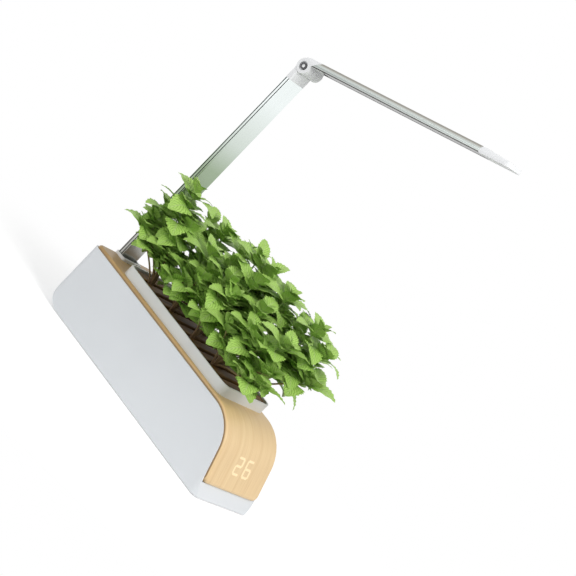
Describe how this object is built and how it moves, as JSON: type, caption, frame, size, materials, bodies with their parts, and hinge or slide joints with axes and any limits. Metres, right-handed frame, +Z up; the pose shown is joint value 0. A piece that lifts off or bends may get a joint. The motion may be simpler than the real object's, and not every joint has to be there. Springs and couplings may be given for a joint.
{
  "type": "countertop hydroponic garden",
  "caption": "White countertop planter with a wood-grain waterfall cover, lift-out tray of mint in a slatted deck, and a folding grow lamp on an aluminium stem.",
  "frame": {"origin": "middle of the underside of the middle rubber foot strip, on the counter under the centre of the body", "axes": "+Z up along the lamp stem, +X along the body from the lamp end to the toe of the waterfall, +Y towards the rear panel with the power inlet; millimetre source, metre row"},
  "size_m": [0.36, 0.1666, 0.5428],
  "materials": {
    "white_shell": "fine matte white moulding",
    "maple": "light maple veneer with a satin lacquer, grain along the body",
    "white_base": "matte moulding",
    "grey_rubber": "soft matte rubber",
    "screw_steel": "zinc plated",
    "tank_plastic": "smooth, slightly milky",
    "pump_plastic": "black moulding",
    "impeller_plastic": "smooth",
    "clear_tube": "clear flexible tube",
    "circuit_board": "solder mask",
    "light_bar": "warm white lit light guides",
    "inlet_plastic": "black moulding",
    "white_gloss": "satin white",
    "white_tray": "smooth satin white",
    "walnut": "dark stained, oiled",
    "sponge": "open-cell grow sponge",
    "mint_green": "veined leaves, soft sheen",
    "inner_metal": "machined",
    "bright_aluminium": "polished extrusion",
    "dark_steel": "black oxide",
    "warm_aluminium": "anodised extrusion",
    "led_white": "white board with diode packages",
    "lens": "smoked diffuser strip"
  },
  "bodies": {
    "planter": {"outer_shell": "white_shell", "wood_cover": "maple", "base_plate": "white_base", "foot_strips": "grey_rubber", "base_screws": "screw_steel", "water_tank": "tank_plastic", "pump_motor": "pump_plastic", "pump_volute": "pump_plastic", "pump_cover": "pump_plastic", "riser_tube": "clear_tube", "level_sensor": "pump_plastic", "control_board": "circuit_board", "display_board": "circuit_board", "display_digits": "light_bar", "display_screws": "screw_steel", "dc_inlet": "inlet_plastic", "lamp_collar": "white_gloss", "stem_pin": "screw_steel"},
    "impeller": {"pump_impeller": "impeller_plastic"},
    "tray": {"planting_tray": "white_tray", "deck_rails": "walnut", "slat_1": "walnut", "slat_2": "walnut", "slat_3": "walnut", "slat_4": "walnut", "slat_5": "walnut", "slat_6": "walnut", "slat_7": "walnut", "slat_8": "walnut", "slat_9": "walnut", "grow_sponges": "sponge", "mint_1": "mint_green", "mint_2": "mint_green", "mint_3": "mint_green", "mint_4": "mint_green", "mint_5": "mint_green", "mint_6": "mint_green", "mint_7": "mint_green", "mint_8": "mint_green"},
    "lamp_stem": {"stem_foot": "inner_metal", "stem_profile": "bright_aluminium", "stem_knuckle": "white_gloss"},
    "lamp_head": {"head_neck": "white_gloss", "hinge_bolt": "dark_steel", "hinge_nut": "dark_steel", "head_profile": "warm_aluminium", "led_board": "led_white", "led_lens": "lens", "head_cap": "white_gloss"}
  },
  "joints": [
    {"name": "stem_tilt", "type": "hinge", "parent": "planter", "child": "lamp_stem", "pos_m": [-0.17175, -0.004, 0.0853], "axis": [0, 1, 0], "range_deg": [0, 10]},
    {"name": "head_tilt", "type": "hinge", "parent": "lamp_stem", "child": "lamp_head", "pos_m": [-0.1675, -0.004, 0.4358], "axis": [0, -1, 0], "range_deg": [-34, 72]},
    {"name": "tray_lift", "type": "slide", "parent": "planter", "child": "tray", "axis": [0, 0, 1], "range_m": [0, 0.04]},
    {"name": "impeller_spin", "type": "hinge", "parent": "planter", "child": "impeller", "pos_m": [0.072, 0, 0.035], "axis": [0, 0, 1], "continuous": true}
  ]
}
